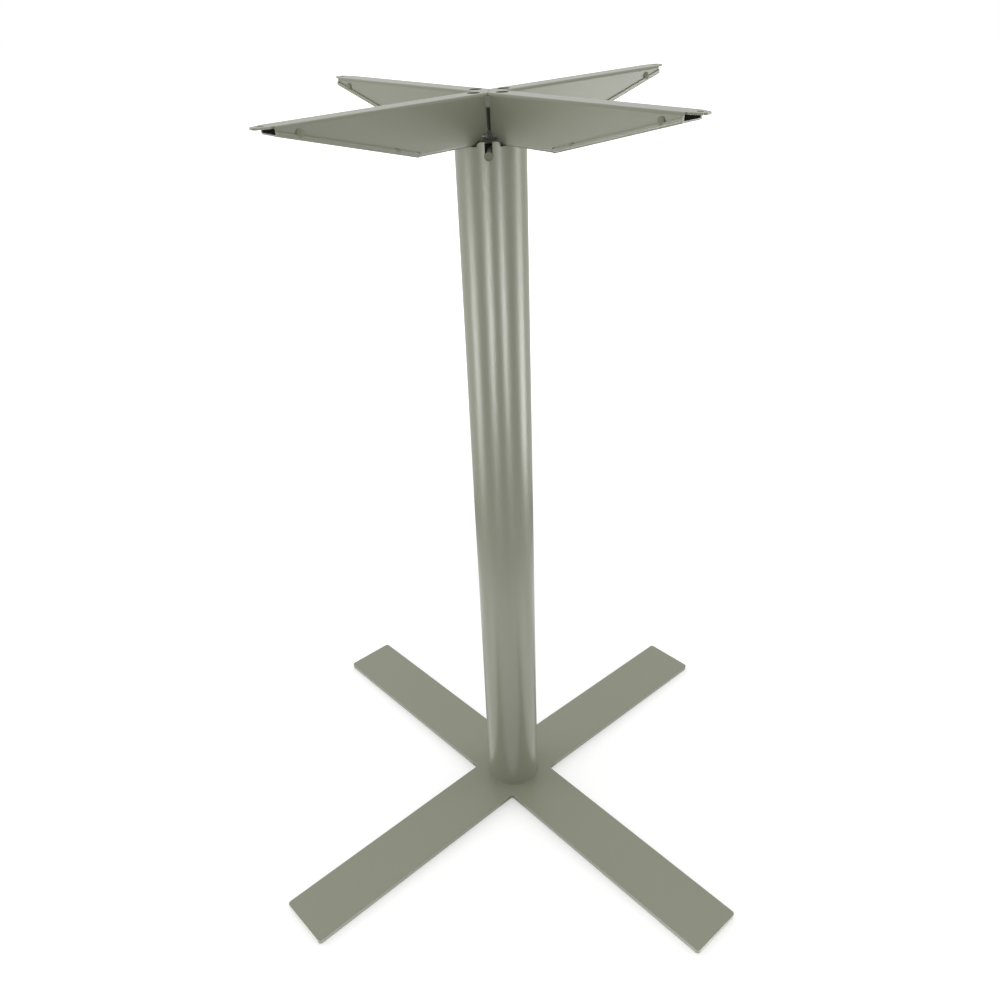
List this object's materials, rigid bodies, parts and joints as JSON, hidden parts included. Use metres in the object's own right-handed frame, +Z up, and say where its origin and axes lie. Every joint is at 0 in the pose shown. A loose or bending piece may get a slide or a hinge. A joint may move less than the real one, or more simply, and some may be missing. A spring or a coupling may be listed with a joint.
{
  "type": "pedestal table base",
  "caption": "Tall pedestal table base: steel plate floor cross, round column and a cross-shaped frame of tapering folded arms for the table top.",
  "frame": {"origin": "on the floor, under the middle of the column and of the floor cross", "axes": "+Z up along the column; the arms of the floor cross and of the top frame stand on the diagonals between +X, +Y, -X and -Y, and -Y is the front, where the frame's clamping nut shows"},
  "size_m": [0.635, 0.635, 1.04],
  "materials": {
    "paint": "satin",
    "plastic": "matte",
    "rubber": "matte"
  },
  "bodies": {
    "root": {"foot_cross": "paint", "column_tube": "paint", "arm_front_left": "paint", "arm_front_right": "paint", "arm_back_right": "paint", "arm_back_left": "paint", "closing_strip_front_left": "paint", "closing_strip_front_right": "paint", "closing_strip_back_right": "paint", "closing_strip_back_left": "paint", "end_plug_front_left": "plastic", "end_plug_front_right": "plastic", "end_plug_back_right": "plastic", "end_plug_back_left": "plastic", "floor_pad_front_left": "rubber", "floor_pad_front_right": "rubber", "floor_pad_back_right": "rubber", "floor_pad_back_left": "rubber", "cross_bar": "paint", "eye_bolt": "paint", "frame_nut": "paint", "frame_washer": "paint"}
  },
  "joints": []
}
